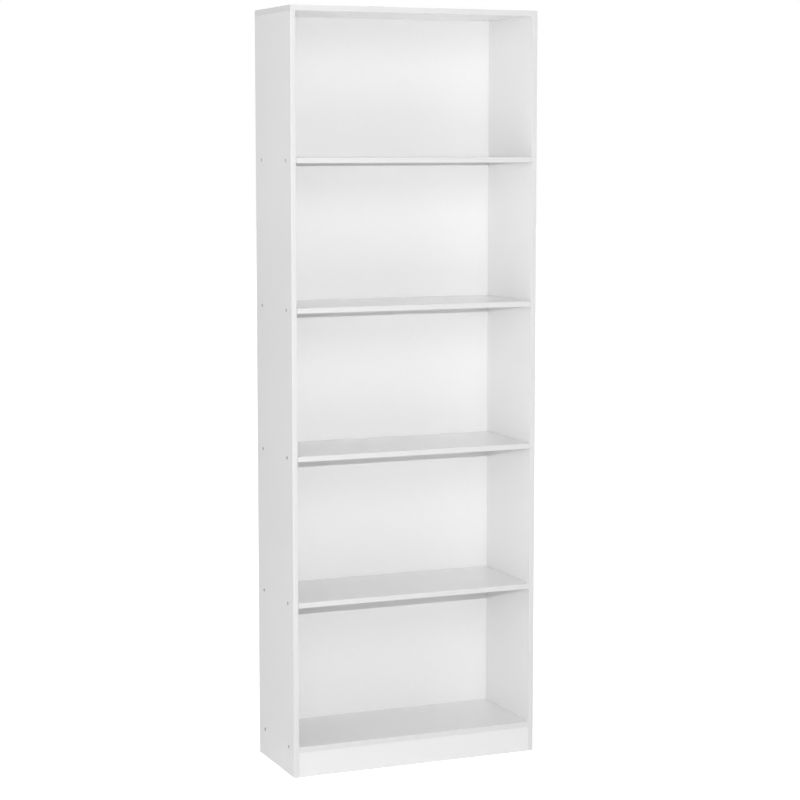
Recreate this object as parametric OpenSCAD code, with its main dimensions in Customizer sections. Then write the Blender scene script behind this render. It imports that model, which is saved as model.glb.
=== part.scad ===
// Tall open bookcase. Two sides stand on the floor, a top lies over them, and a bottom board and a
// plinth fit between them. A thin back is nailed on. Four shelves rest on steel pins that pass
// through the sides into notches in the shelf ends, so each shelf lifts straight off its pins.
// Millimetres. +Z is up, the front faces -Y, and the origin is on the floor under the middle.

/* [Case] */
// Overall width, over the two sides
case_w = 600; // [450:1:900]
// Overall depth, from the front edges to the outer face of the back panel
case_d = 240; // [200:1:400]
// Overall height, from the floor to the upper face of the top panel
case_h = 1730; // [1300:1:2200]
// Height of the plinth, which is also the height of the bottom board's underside
plinth_h = 58; // [50:1:120]

/* [Boards] */
// Thickness of each side
side_t = 12; // [10:0.5:22]
// Thickness of the top panel
top_t = 12; // [10:0.5:25]
// Thickness of the bottom board
bottom_t = 12; // [10:0.5:25]
// Thickness of each shelf
shelf_t = 12; // [10:0.5:25]
// Thickness of the plinth
plinth_t = 12; // [10:0.5:20]
// Thickness of the back panel
back_t = 3; // [2.5:0.5:6]
// How far the back panel's edges stay inside the case all round
back_inset = 1; // [0.5:0.5:3]

/* [Shelves] */
// Gap between each end of a shelf and the side
shelf_end_gap = 0.5; // [0.3:0.1:1.5]
// Gap between the rear edge of a shelf and the back panel
shelf_back_gap = 1; // [0.5:0.5:5]

/* [Shelf pins] */
// Diameter of the pin's shank
pin_d = 5; // [4:0.5:6]
// Diameter of the pin's countersunk head
pin_head_d = 8; // [7:0.5:10]
// How far the pin stands out of the side's inner face
pin_reach = 9; // [6:0.5:14]
// Distance of the pins and the long screws from the front and rear edges of the side
pin_setback = 37; // [30:1:60]
// Room between the pin and the notch that drops over it
notch_clear = 0.3; // [0.3:0.1:0.6]
// Room between the pin's end and the end of the notch
notch_end_gap = 1; // [0.5:0.5:3]

/* [Long screws] */
// Diameter of the screws that hold the top and the bottom board
screw_d = 4; // [3:0.5:5]
// Diameter of their countersunk heads
screw_head_d = 8; // [7:0.5:10]
// Length of the long screws
screw_l = 40; // [30:1:60]

/* [Dowels] */
// Diameter of the wooden dowels
dowel_d = 6; // [5:0.5:7]
// Length of the dowels
dowel_l = 24; // [20:1:35]
// How deep a dowel goes into the face of a board
dowel_face_depth = 8; // [5:0.5:9]
// Empty space left past each end of a dowel
dowel_end_gap = 0.5; // [0.5:0.5:1]
// Distance of the top's dowels from the front and rear edges of the side
dowel_setback = 69; // [60:1:90]
// Distance of the plinth's dowels from its lower and upper edges
plinth_dowel_inset = 16; // [12:1:20]

/* [Back nails] */
// Diameter of the nails
nail_d = 1.6; // [1.2:0.1:2]
// Diameter of the nail heads
nail_head_d = 4; // [3:0.5:5]
// Thickness of the nail heads, which are driven flush
nail_head_t = 0.8; // [0.5:0.1:1.2]
// Length of the nails
nail_l = 20; // [15:1:25]
// Number of nails down each side
side_nails = 7; // [4:1:10]
// Number of nails along the top and along the bottom board
cross_nails = 3; // [2:1:6]
// Distance of the end nails from the end of the edge that they are in
nail_end_dist = 40; // [25:1:80]

/* [Plinth blocks] */
// Width of a corner block
block_w = 30; // [24:1:40]
// Length of each of its two legs
block_leg = 20; // [18:1:28]
// Thickness of its legs
block_t = 4; // [3:0.5:6]
// Thickness of its two end webs
block_web_t = 2.5; // [2:0.5:4]
// Distance of each block's middle from the middle of the case
block_offset = 150; // [60:1:180]

/* [Wall bracket] */
// Width of the bracket
bracket_w = 40; // [34:1:80]
// Thickness of its steel
bracket_t = 2; // [1.5:0.5:3]
// Length of the leg that lies on the top panel
bracket_foot = 32; // [28:1:60]
// Height of the leg that stands against the wall
bracket_rise = 16; // [15:1:30]
// Inner radius of its bend
bracket_bend_r = 1.5; // [0.5:0.5:3]
// Diameter of the hole for the wall screw
bracket_hole_d = 5; // [4:0.5:6]
// Height of that hole above the top panel
bracket_hole_z = 9.5; // [9:0.5:10]
// Distance between the two screws that hold the bracket down
bracket_screw_pitch = 24; // [18:1:28]
// Distance of those screws from the bracket's front end
bracket_screw_inset = 12; // [8:1:14]

/* [Short screws] */
// Diameter of the short screws
short_d = 3.5; // [2.5:0.5:4]
// Diameter of their pan heads
short_head_d = 7; // [6:0.5:8]
// Height of their pan heads
short_head_h = 2; // [1.5:0.5:3]
// How deep a short screw goes into the board
short_bite = 8; // [6:0.5:9]

/* [Hidden] */
$fn = 48;

shelf_count = 4;
bay_count = shelf_count + 1;
board_d = case_d - back_t;                       // depth of the sides, top and bottom board
inner_w = case_w - 2 * side_t;                   // clear width between the sides
side_h = case_h - top_t;                         // the sides stop under the top
bottom_top_z = plinth_h + bottom_t;              // upper face of the bottom board
bay_h = (side_h - bottom_top_z - shelf_count * shelf_t) / bay_count;
shelf_w = inner_w - 2 * shelf_end_gap;
shelf_d = board_d - shelf_back_gap;

front_y = -case_d / 2;
rear_y = front_y + board_d;                      // rear edges of the boards, where the back lies
fixing_ys = [front_y + pin_setback, rear_y - pin_setback];
dowel_ys = [front_y + dowel_setback, rear_y - dowel_setback];
plinth_dowel_zs = [plinth_dowel_inset, plinth_h - plinth_dowel_inset];
side_mid_x = -case_w / 2 + side_t / 2;           // middle of the left side's thickness

pin_l = side_t + pin_reach;                      // from the pin's head to its end
pin_tip = 1;                                     // length of the chamfer on the pin's end
point_l = 2.5;                                   // length of a screw's or a nail's point
mouth = 1;                                       // how far a cutting shape passes a face
recess_w = 1.1;                                  // cross recess: width of each slot
recess_l = 4.6;                                  // cross recess: length of each slot
recess_depth = 1.4;                              // cross recess: how deep it goes
dowel_chamfer = 0.8;                             // chamfer round each end of a dowel
dowel_edge_depth = dowel_l - dowel_face_depth;   // how deep a dowel goes into the edge of a board

bracket_front_y = case_d / 2 - bracket_foot;
block_screw_x = block_w / 4;                     // the block's two screws pass side by side
block_screw_in = (block_leg + block_t) / 2;      // distance of a block screw from the block's corner

board_white = "#f1f1ef";
back_white = "#f5f5f3";
zinc = "#9a9da0";
nail_steel = "#8b8d90";
beech = "#d9b98a";
block_plastic = "#eeeeea";
bracket_steel = "#b9bcbf";

// Height of the underside of shelf n, counted up from 1
function shelf_z(n) = bottom_top_z + n * bay_h + (n - 1) * shelf_t;

// Evenly spaced places from first to last, both included
function spread(first, last, count) =
    [for (i = [0 : count - 1]) first + (last - first) * i / (count - 1)];

// ---- Shapes that several pieces share ----

// Draws its children and their mirror image in the other half of the case
module both_halves() {
    children();
    mirror([1, 0, 0]) children();
}

// Turns what runs along +Z from its head so that it runs along +X from the left side's outer face
module from_left_face(y, z) {
    translate([-case_w / 2, y, z]) rotate([0, 90, 0]) children();
}

// The outside of a countersunk fastener: head flat at z = 0, shank along +Z
module countersunk_body(shank_d, head_d, length, tip) {
    cone_h = (head_d - shank_d) / 2;
    rotate_extrude()
        polygon([[0, 0], [head_d / 2, 0], [shank_d / 2, cone_h],
            [shank_d / 2, length - tip], [shank_d / 2 - tip / 2, length], [0, length]]);
}

module cross_recess() {
    for (turn = [0, 90])
        rotate([0, 0, turn])
            translate([-recess_l / 2, -recess_w / 2, -mouth])
                cube([recess_l, recess_w, mouth + recess_depth]);
}

// What a countersunk fastener leaves in the boards, open past the face
module countersunk_hole(shank_d, head_d, length, tip) {
    countersunk_body(shank_d, head_d, length, tip);
    translate([0, 0, -mouth]) cylinder(d = head_d, h = mouth);
}

module shelf_pin() {
    difference() {
        countersunk_body(pin_d, pin_head_d, pin_l, pin_tip);
        cross_recess();
    }
}

module long_screw() {
    difference() {
        countersunk_body(screw_d, screw_head_d, screw_l, point_l);
        cross_recess();
    }
}

module long_screw_hole() {
    countersunk_hole(screw_d, screw_head_d, screw_l, point_l);
}

// A pan-head screw: the head stands above z = 0, the shank runs down along -Z
module short_screw(under_head) {
    length = under_head + short_bite;
    head_r = short_head_d / 2;
    head_slope = short_head_h / 2;
    difference() {
        rotate_extrude()
            polygon([[0, -length], [short_d / 2 - point_l / 2, -length],
                [short_d / 2, point_l - length], [short_d / 2, 0], [head_r, 0],
                [head_r, short_head_h - head_slope], [head_r - head_slope, short_head_h],
                [0, short_head_h]]);
        translate([0, 0, short_head_h]) mirror([0, 0, 1]) cross_recess();
    }
}

module short_screw_hole(under_head) {
    length = under_head + short_bite;
    rotate_extrude()
        polygon([[0, -length], [short_d / 2 - point_l / 2, -length],
            [short_d / 2, point_l - length], [short_d / 2, mouth], [0, mouth]]);
}

// A nail with its head flat at z = 0, running along +Z
module nail() {
    rotate_extrude()
        polygon([[0, 0], [nail_head_d / 2, 0], [nail_head_d / 2, nail_head_t],
            [nail_d / 2, nail_head_t], [nail_d / 2, nail_l - point_l], [0, nail_l]]);
}

// A dowel whose joint line is at z = 0: the part in a board's face is above it
module dowel() {
    rotate_extrude()
        polygon([[0, -dowel_edge_depth], [dowel_d / 2 - dowel_chamfer, -dowel_edge_depth],
            [dowel_d / 2, dowel_chamfer - dowel_edge_depth],
            [dowel_d / 2, dowel_face_depth - dowel_chamfer],
            [dowel_d / 2 - dowel_chamfer, dowel_face_depth], [0, dowel_face_depth]]);
}

module dowel_hole() {
    translate([0, 0, -dowel_edge_depth - dowel_end_gap])
        cylinder(d = dowel_d, h = dowel_l + 2 * dowel_end_gap);
}

// ---- Where the fasteners are ----

module at_shelf_pins(n) {
    both_halves()
        for (y = fixing_ys)
            from_left_face(y, shelf_z(n) + shelf_t / 2) children();
}

module at_bottom_screws() {
    both_halves()
        for (y = fixing_ys)
            from_left_face(y, plinth_h + bottom_t / 2) children();
}

module at_top_screws() {
    both_halves()
        for (y = fixing_ys)
            translate([side_mid_x, y, case_h]) mirror([0, 0, 1]) children();
}

module at_top_dowels() {
    both_halves()
        for (y = dowel_ys)
            translate([side_mid_x, y, side_h]) children();
}

module at_plinth_dowels() {
    both_halves()
        for (z = plinth_dowel_zs)
            translate([-inner_w / 2, front_y + plinth_t / 2, z]) rotate([0, -90, 0]) children();
}

module at_back_nails() {
    for (z = spread(plinth_h + nail_end_dist, side_h - nail_end_dist, side_nails))
        for (x = [side_mid_x, -side_mid_x])
            translate([x, case_d / 2, z]) rotate([90, 0, 0]) children();
    for (x = spread(nail_end_dist - inner_w / 2, inner_w / 2 - nail_end_dist, cross_nails))
        for (z = [plinth_h + bottom_t / 2, case_h - top_t / 2])
            translate([x, case_d / 2, z]) rotate([90, 0, 0]) children();
}

// One screw of each block goes up into the bottom board
module at_block_up_screws() {
    both_halves()
        translate([block_offset - block_screw_x, front_y + plinth_t + block_screw_in, plinth_h - block_t])
            mirror([0, 0, 1]) children();
}

// The other goes forward into the plinth
module at_block_front_screws() {
    both_halves()
        translate([block_offset + block_screw_x, front_y + plinth_t + block_t, plinth_h - block_screw_in])
            rotate([-90, 0, 0]) children();
}

module at_bracket_screws() {
    for (x = [-bracket_screw_pitch / 2, bracket_screw_pitch / 2])
        translate([x, bracket_front_y + bracket_screw_inset, case_h + bracket_t]) children();
}

// ---- The boards ----

module side_board() {
    difference() {
        translate([-case_w / 2, front_y, 0]) cube([side_t, board_d, side_h]);
        for (n = [1 : shelf_count])
            at_shelf_pins(n) countersunk_hole(pin_d, pin_head_d, side_t + mouth, 0);
        at_bottom_screws() long_screw_hole();
        at_top_screws() long_screw_hole();
        at_top_dowels() dowel_hole();
        at_plinth_dowels() dowel_hole();
        at_back_nails() nail();
    }
}

module left_side() {
    color(board_white) side_board();
}

module right_side() {
    color(board_white) mirror([1, 0, 0]) side_board();
}

module top_panel() {
    color(board_white)
        difference() {
            translate([-case_w / 2, front_y, side_h]) cube([case_w, board_d, top_t]);
            at_top_screws() long_screw_hole();
            at_top_dowels() dowel_hole();
            at_back_nails() nail();
            at_bracket_screws() short_screw_hole(bracket_t);
        }
}

module bottom_panel() {
    color(board_white)
        difference() {
            translate([-inner_w / 2, front_y, plinth_h]) cube([inner_w, board_d, bottom_t]);
            at_bottom_screws() long_screw_hole();
            at_back_nails() nail();
            at_block_up_screws() short_screw_hole(block_t);
        }
}

module plinth() {
    color(board_white)
        difference() {
            translate([-inner_w / 2, front_y, 0]) cube([inner_w, plinth_t, plinth_h]);
            at_plinth_dowels() dowel_hole();
            at_block_front_screws() short_screw_hole(block_t);
        }
}

module back_panel() {
    color(back_white)
        difference() {
            translate([back_inset - case_w / 2, rear_y, plinth_h + back_inset])
                cube([case_w - 2 * back_inset, back_t, case_h - plinth_h - 2 * back_inset]);
            at_back_nails() nail();
        }
}

// The slot in a shelf end that drops over a pin: round at the top, open below and at the end
module shelf_notch() {
    notch_r = pin_d / 2 + notch_clear;
    notch_l = pin_l + notch_end_gap;
    cylinder(r = notch_r, h = notch_l);
    translate([0, -notch_r, 0]) cube([shelf_t, 2 * notch_r, notch_l]);
}

module shelf(n) {
    color(board_white)
        difference() {
            translate([-shelf_w / 2, front_y, shelf_z(n)]) cube([shelf_w, shelf_d, shelf_t]);
            at_shelf_pins(n) shelf_notch();
        }
}

// ---- The fittings ----

module shelf_pins(n) {
    color(zinc) at_shelf_pins(n) shelf_pin();
}

module bottom_panel_screws() {
    color(zinc) at_bottom_screws() long_screw();
}

module top_panel_screws() {
    color(zinc) at_top_screws() long_screw();
}

module top_panel_dowels() {
    color(beech) at_top_dowels() dowel();
}

module plinth_dowels() {
    color(beech) at_plinth_dowels() dowel();
}

module back_nails() {
    color(nail_steel) at_back_nails() nail();
}

// An angle of two legs with a web at each end, its corner at the origin, its legs along +Y and -Z
module corner_block() {
    translate([-block_w / 2, 0, -block_t]) cube([block_w, block_leg, block_t]);
    translate([-block_w / 2, 0, -block_leg]) cube([block_w, block_t, block_leg]);
    for (x = [-block_w / 2, block_w / 2 - block_web_t])
        translate([x, 0, 0])
            rotate([90, 0, 90])
                linear_extrude(block_web_t)
                    polygon([[0, 0], [0, -block_leg], [block_t, -block_leg],
                        [block_leg, -block_t], [block_leg, 0]]);
}

module plinth_blocks() {
    color(block_plastic)
        difference() {
            both_halves()
                translate([block_offset, front_y + plinth_t, plinth_h]) corner_block();
            at_block_up_screws() short_screw_hole(block_t);
            at_block_front_screws() short_screw_hole(block_t);
        }
}

module plinth_block_screws() {
    color(zinc) {
        at_block_up_screws() short_screw(block_t);
        at_block_front_screws() short_screw(block_t);
    }
}

// The bent strip seen from its end: X runs back along the foot, Y runs up the rise
module bracket_profile() {
    outer_r = bracket_bend_r + bracket_t;
    square([bracket_foot - outer_r, bracket_t]);
    translate([bracket_foot - bracket_t, outer_r]) square([bracket_t, bracket_rise - outer_r]);
    translate([bracket_foot - outer_r, outer_r])
        intersection() {
            difference() {
                circle(outer_r);
                circle(bracket_bend_r);
            }
            translate([0, -outer_r]) square(outer_r);
        }
}

module wall_bracket() {
    color(bracket_steel)
        difference() {
            translate([-bracket_w / 2, bracket_front_y, case_h])
                rotate([90, 0, 90]) linear_extrude(bracket_w) bracket_profile();
            at_bracket_screws() short_screw_hole(bracket_t);
            translate([0, case_d / 2 + mouth, case_h + bracket_hole_z])
                rotate([90, 0, 0]) cylinder(d = bracket_hole_d, h = bracket_t + 2 * mouth);
        }
}

module wall_bracket_screws() {
    color(zinc) at_bracket_screws() short_screw(bracket_t);
}

// ---- What is drawn ----

left_side();
right_side();
top_panel();
bottom_panel();
plinth();
back_panel();
shelf(1);  // shelf_1
shelf(2);  // shelf_2
shelf(3);  // shelf_3
shelf(4);  // shelf_4
shelf_pins(1);  // shelf_1_pins
shelf_pins(2);  // shelf_2_pins
shelf_pins(3);  // shelf_3_pins
shelf_pins(4);  // shelf_4_pins
bottom_panel_screws();
top_panel_screws();
top_panel_dowels();
plinth_dowels();
plinth_blocks();
plinth_block_screws();
back_nails();
wall_bracket();
wall_bracket_screws();
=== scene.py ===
# %% [markdown]
# # A tall open bookcase, built piece by piece
# The design file already holds every board, pin, screw and dowel at its real size. This lesson keeps
# those sizes and gives each piece the shape and finish that it has in a real flat-pack case: white
# faced chipboard with glued-on edging, a thin lacquered back, and small plated fittings.
# Lengths are in metres. +Z is up, the open front faces -Y, and the floor is at zero.

import math

import bmesh
import bpy
import numpy as np
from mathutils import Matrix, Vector


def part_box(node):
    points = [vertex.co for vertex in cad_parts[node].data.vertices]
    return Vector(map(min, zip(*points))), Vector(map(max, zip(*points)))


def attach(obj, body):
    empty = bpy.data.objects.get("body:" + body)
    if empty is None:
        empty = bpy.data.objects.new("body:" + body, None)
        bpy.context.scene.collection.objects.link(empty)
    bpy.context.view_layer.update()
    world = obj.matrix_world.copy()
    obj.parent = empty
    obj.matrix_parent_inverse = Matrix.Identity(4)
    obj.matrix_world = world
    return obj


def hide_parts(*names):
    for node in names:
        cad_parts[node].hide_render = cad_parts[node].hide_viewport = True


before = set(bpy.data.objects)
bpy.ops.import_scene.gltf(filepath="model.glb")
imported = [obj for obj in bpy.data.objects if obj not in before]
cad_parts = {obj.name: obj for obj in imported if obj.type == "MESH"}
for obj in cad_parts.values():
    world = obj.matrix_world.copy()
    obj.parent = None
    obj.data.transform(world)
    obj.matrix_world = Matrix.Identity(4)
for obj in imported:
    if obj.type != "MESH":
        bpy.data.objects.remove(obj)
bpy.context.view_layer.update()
MM = 0.001

# %% [markdown]
# ## The camera
# A tall thin object looks calm from far away through a long lens. Here the eye is at 1.43 m, about
# five metres off and well round to the left, so that one side shows its full height and every shelf
# shows its top. The lens is shifted by a hair, which lowers the horizon without more tilt. The place is
# worked out from those plain numbers.

# %% Put the camera at eye height, in front and to the left
EYE_HEIGHT = 1.4295
EYE_DISTANCE = 5.048
EYE_ROUND_TO_LEFT = math.radians(22.58)
LOOK_RIGHT = math.radians(22.68)
LOOK_DOWN = math.radians(6.285)
LENS_MM = 98.35
LENS_SHIFT = -0.02

camera_data = bpy.data.cameras.new("eye")
camera_data.lens = LENS_MM
camera_data.shift_y = LENS_SHIFT
camera = bpy.data.objects.new("eye", camera_data)
bpy.context.scene.collection.objects.link(camera)
camera.location = (-EYE_DISTANCE * math.sin(EYE_ROUND_TO_LEFT),
                   -EYE_DISTANCE * math.cos(EYE_ROUND_TO_LEFT), EYE_HEIGHT)
camera.rotation_euler = (math.pi / 2 - LOOK_DOWN, 0, -LOOK_RIGHT)
bpy.context.scene.camera = camera
print("camera at", [round(c, 3) for c in camera.location])

# %% [markdown]
# ## The room
# White furniture is read by its shadows, so there are only a few lights. A small lamp just above the
# eye draws the thin sharp shadow under each shelf. A wide soft panel on the left fills the side, and
# one high in front falls on the shelves' tops. A lamp is a name, a shape, a place, an aim, a width in
# metres and its watts. The white room fills the rest, with less light from above a set share of the
# upward axis than from below. It glows more strongly behind, at the far right and straight above,
# where no lamp stands: each glow has an axis, the share of that axis where it begins and where it is
# full, and its strength. The floor glows a little too, as a white studio sweep does once it is lit.

# %% White room, small key lamp and two soft panels
bpy.context.scene.view_settings.view_transform = "Standard"
ROOM_LOW = 0.42
ROOM_HIGH = 0.3
ROOM_CHANGES = (0.1, 0.5)
GLOWS = [("Y", 0.0, 0.5, 0.2), ("X", 0.7, 0.9, 0.35), ("Z", 0.75, 0.95, 0.2)]
ROOM_SEEN = 1.0
LAMPS = [("key_lamp", "DISK", (-1.67, -4.10, 1.54), (0.0, 0.0, 0.95), 0.02, 80.0),
         ("soft_panel", "SQUARE", (-4.2, -1.2, 1.3), (0.0, 0.0, 0.9), 2.4, 38.0),
         ("overhead_panel", "SQUARE", (0.0, -4.4, 3.0), (0.0, 0.0, 0.9), 1.5, 30.0)]


def add(tree, kind, inputs=None, **settings):
    """Adds one shader node. The settings are its own choices. Each input is a value, or the output
    that feeds it."""
    node = tree.nodes.new("ShaderNode" + kind)
    for key, value in settings.items():
        setattr(node, key, value)
    for key, value in (inputs or {}).items():
        if isinstance(value, bpy.types.NodeSocket):
            tree.links.new(value, node.inputs[key])
        else:
            node.inputs[key].default_value = value
    return node


def lamp(name, shape, place, aim, width, watts):
    """A flat lamp at a place, turned to face its aim. Its width is in metres."""
    data = bpy.data.lights.new(name, "AREA")
    data.shape = shape
    data.size = width
    data.energy = watts
    lamp_object = bpy.data.objects.new(name, data)
    bpy.context.scene.collection.objects.link(lamp_object)
    lamp_object.location = place
    towards = Vector(aim) - Vector(place)
    lamp_object.rotation_euler = towards.to_track_quat("-Z", "Y").to_euler()


room = bpy.data.worlds.new("white_room")
room.use_nodes = True
bpy.context.scene.world = room
room.node_tree.nodes.clear()
direction = add(room.node_tree, "TexCoord")
part = add(room.node_tree, "SeparateXYZ", {"Vector": direction.outputs["Generated"]})
walls = add(room.node_tree, "MapRange", {
    "Value": part.outputs["Z"], "From Min": ROOM_CHANGES[0], "From Max": ROOM_CHANGES[1],
    "To Min": ROOM_LOW, "To Max": ROOM_HIGH})
strength = walls.outputs[0]
for axis, begins, full, extra in GLOWS:
    glow = add(room.node_tree, "MapRange", {
        "Value": part.outputs[axis], "From Min": begins, "From Max": full, "To Min": 0.0, "To Max": extra})
    strength = add(room.node_tree, "Math", {0: strength, 1: glow.outputs[0]}, operation="ADD").outputs[0]
fill = add(room.node_tree, "Background", {"Color": (1, 1, 1, 1), "Strength": strength})
seen = add(room.node_tree, "Background", {"Color": (1, 1, 1, 1), "Strength": ROOM_SEEN})
ray = add(room.node_tree, "LightPath")
either = add(room.node_tree, "MixShader", {
    0: ray.outputs["Is Camera Ray"], 1: fill.outputs[0], 2: seen.outputs[0]})
add(room.node_tree, "OutputWorld", {"Surface": either.outputs[0]})
for lamp_settings in LAMPS:
    lamp(*lamp_settings)
print("lamps:", [name for name, *_ in LAMPS])

# %% [markdown]
# ## Finishes
# Every finish starts from the real stuff and how its surface was made. A colour is written as the
# number a paint chart gives, and one function turns it into the light values that Blender works in.
# Patterns use Object coordinates, so one millimetre of pattern is one millimetre of board.

# %% Colours and the start of every finish
def paint(code):
    """A chart colour such as #f0f0ee as linear light, by the screen curve's own two-part formula."""
    chart = np.array([int(code[i:i + 2], 16) for i in (1, 3, 5)]) / 255
    light = np.where(chart <= 0.04045, chart / 12.92, ((chart + 0.055) / 1.055) ** 2.4)
    return (*light.tolist(), 1.0)


def new_finish(name):
    """An empty material with its node tree and the coordinates of the piece it is put on."""
    material = bpy.data.materials.new(name)
    material.use_nodes = True
    material.node_tree.nodes.clear()
    place = add(material.node_tree, "TexCoord").outputs["Object"]
    return material, material.node_tree, place


def per_metre(size_mm):
    """How often a pattern of this size repeats in a metre, which is a texture's Scale."""
    return 1 / (size_mm * MM)


# %% [markdown]
# ### White melamine facing
# The white skin of the boards is paper soaked in melamine resin and pressed hot against a steel
# plate. Melamine bends light more than most plastics do, so a low look along a shelf shows the back
# in it like a dull mirror. The plate's fine pearl pattern stays in the skin and softens that mirror.
# The real pearl is about half a millimetre. It is drawn at three, so that it still breaks the
# reflection when the whole case fills the picture.

# %% Melamine facing
PEARL_MM = 3.0
CLOUD_MM = 260.0
SATIN = (0.15, 0.20)


def melamine_finish():
    material, tree, place = new_finish("melamine_facing_pressed")
    pearl = add(tree, "TexNoise", {"Vector": place, "Scale": per_metre(PEARL_MM), "Detail": 3.0})
    cloud = add(tree, "TexNoise", {"Vector": place, "Scale": per_metre(CLOUD_MM), "Detail": 2.0})
    white = add(tree, "Mix", {
        0: cloud.outputs["Fac"], 6: paint("#ebebeb"), 7: paint("#efefef")}, data_type="RGBA")
    satin = add(tree, "MapRange", {"Value": cloud.outputs["Fac"], "To Min": SATIN[0], "To Max": SATIN[1]})
    relief = add(tree, "Bump", {"Height": pearl.outputs["Fac"], "Strength": 0.12, "Distance": 0.1 * MM})
    facing = add(tree, "BsdfPrincipled", {
        "Base Color": white.outputs[2], "Roughness": satin.outputs[0], "IOR": 1.65,
        "Normal": relief.outputs[0]})
    add(tree, "OutputMaterial", {"Surface": facing.outputs[0]})
    return material


melamine = melamine_finish()
print("made", melamine.name)

# %% [markdown]
# ### Edging
# The front edges wear a strip of white plastic, extruded thin, glued on hot and trimmed flush. It is
# a touch smoother and cleaner than the pressed facing, with the faint long waves that the trimming
# cutters leave.

# %% Edging strip
TRIM_WAVE_MM = 6.0


def edging_finish():
    material, tree, place = new_finish("edging_strip_extruded")
    waves = add(tree, "TexNoise", {"Vector": place, "Scale": per_metre(TRIM_WAVE_MM), "Detail": 1.0})
    white = add(tree, "Mix", {
        0: waves.outputs["Fac"], 6: paint("#dfdfdf"), 7: paint("#e4e4e4")}, data_type="RGBA")
    relief = add(tree, "Bump", {"Height": waves.outputs["Fac"], "Strength": 0.1, "Distance": 0.1 * MM})
    strip = add(tree, "BsdfPrincipled", {
        "Base Color": white.outputs[2], "Roughness": 0.3, "IOR": 1.49, "Normal": relief.outputs[0]})
    add(tree, "OutputMaterial", {"Surface": strip.outputs[0]})
    return material


edging = edging_finish()
print("made", edging.name)

# %% [markdown]
# ### Raw chipboard
# Where a board is only sawn, its core shows: flakes of spruce and beech a few millimetres long,
# pressed with glue. Cells of random colour give the flakes, and a second finer layer the dust
# between them.

# %% Sawn chipboard
FLAKE_MM = 2.6
DUST_MM = 0.7


def chipboard_finish():
    material, tree, place = new_finish("chipboard_sawn")
    long_way = add(tree, "Mapping", {"Vector": place, "Scale": (0.45, 0.45, 1.0)})
    flakes = add(tree, "TexVoronoi", {"Vector": long_way.outputs[0], "Scale": per_metre(FLAKE_MM)})
    tone = add(tree, "SeparateColor", {"Color": flakes.outputs["Color"]})
    wood = add(tree, "ValToRGB", {"Fac": tone.outputs[0]})
    wood.color_ramp.elements[0].color = paint("#8f6f49")
    wood.color_ramp.elements[1].color = paint("#dcc39a")
    wood.color_ramp.elements.new(0.45).color = paint("#c2a071")
    dust = add(tree, "TexNoise", {"Vector": place, "Scale": per_metre(DUST_MM), "Detail": 4.0})
    core = add(tree, "Mix", {
        0: dust.outputs["Fac"], 6: wood.outputs[0], 7: paint("#b8956a")}, data_type="RGBA")
    relief = add(tree, "Bump", {
        "Height": flakes.outputs["Distance"], "Strength": 0.6, "Distance": 0.3 * MM})
    sawn = add(tree, "BsdfPrincipled", {
        "Base Color": core.outputs[2], "Roughness": 0.85, "IOR": 1.45, "Normal": relief.outputs[0]})
    add(tree, "OutputMaterial", {"Surface": sawn.outputs[0]})
    return material


chipboard = chipboard_finish()
print("made", chipboard.name)

# %% [markdown]
# ### The back: lacquer inside, bare fibre behind
# The thin back is hardboard. Its inner face is roller-coated with white lacquer, which dries to a
# low sheen over a slight orange peel. Its outer face is left bare: brown wood fibre that was pressed
# against a wire screen, so it keeps the print of the mesh. Bundles of fibre lie in it as paler and
# darker flecks. A real fleck is 2 or 3 mm across. It is drawn at nine, so that a whole case still
# shows it. The mesh print is drawn at about twice its real size for the same reason. Blender's wave
# texture makes 20 / (2 pi) waves in a metre at scale one, so its scale is divided by that.

# %% Lacquered face and bare face
PEEL_MM = 5.0
SCREEN_MM = 6.3335
WAVES_PER_SCALE = 20 / (2 * math.pi)
FIBRE_MM = 1.4
FLECK_MM = 9.0
FLECK_SHARE = 0.55
PATCH_MM = 150.0


def lacquer_finish():
    material, tree, place = new_finish("hardboard_white_lacquer")
    peel = add(tree, "TexNoise", {"Vector": place, "Scale": per_metre(PEEL_MM), "Detail": 2.0})
    white = add(tree, "Mix", {
        0: peel.outputs["Fac"], 6: paint("#ececec"), 7: paint("#f0f0f0")}, data_type="RGBA")
    relief = add(tree, "Bump", {"Height": peel.outputs["Fac"], "Strength": 0.12, "Distance": 0.1 * MM})
    coat = add(tree, "BsdfPrincipled", {
        "Base Color": white.outputs[2], "Roughness": 0.42, "IOR": 1.5, "Normal": relief.outputs[0]})
    add(tree, "OutputMaterial", {"Surface": coat.outputs[0]})
    return material


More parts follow.
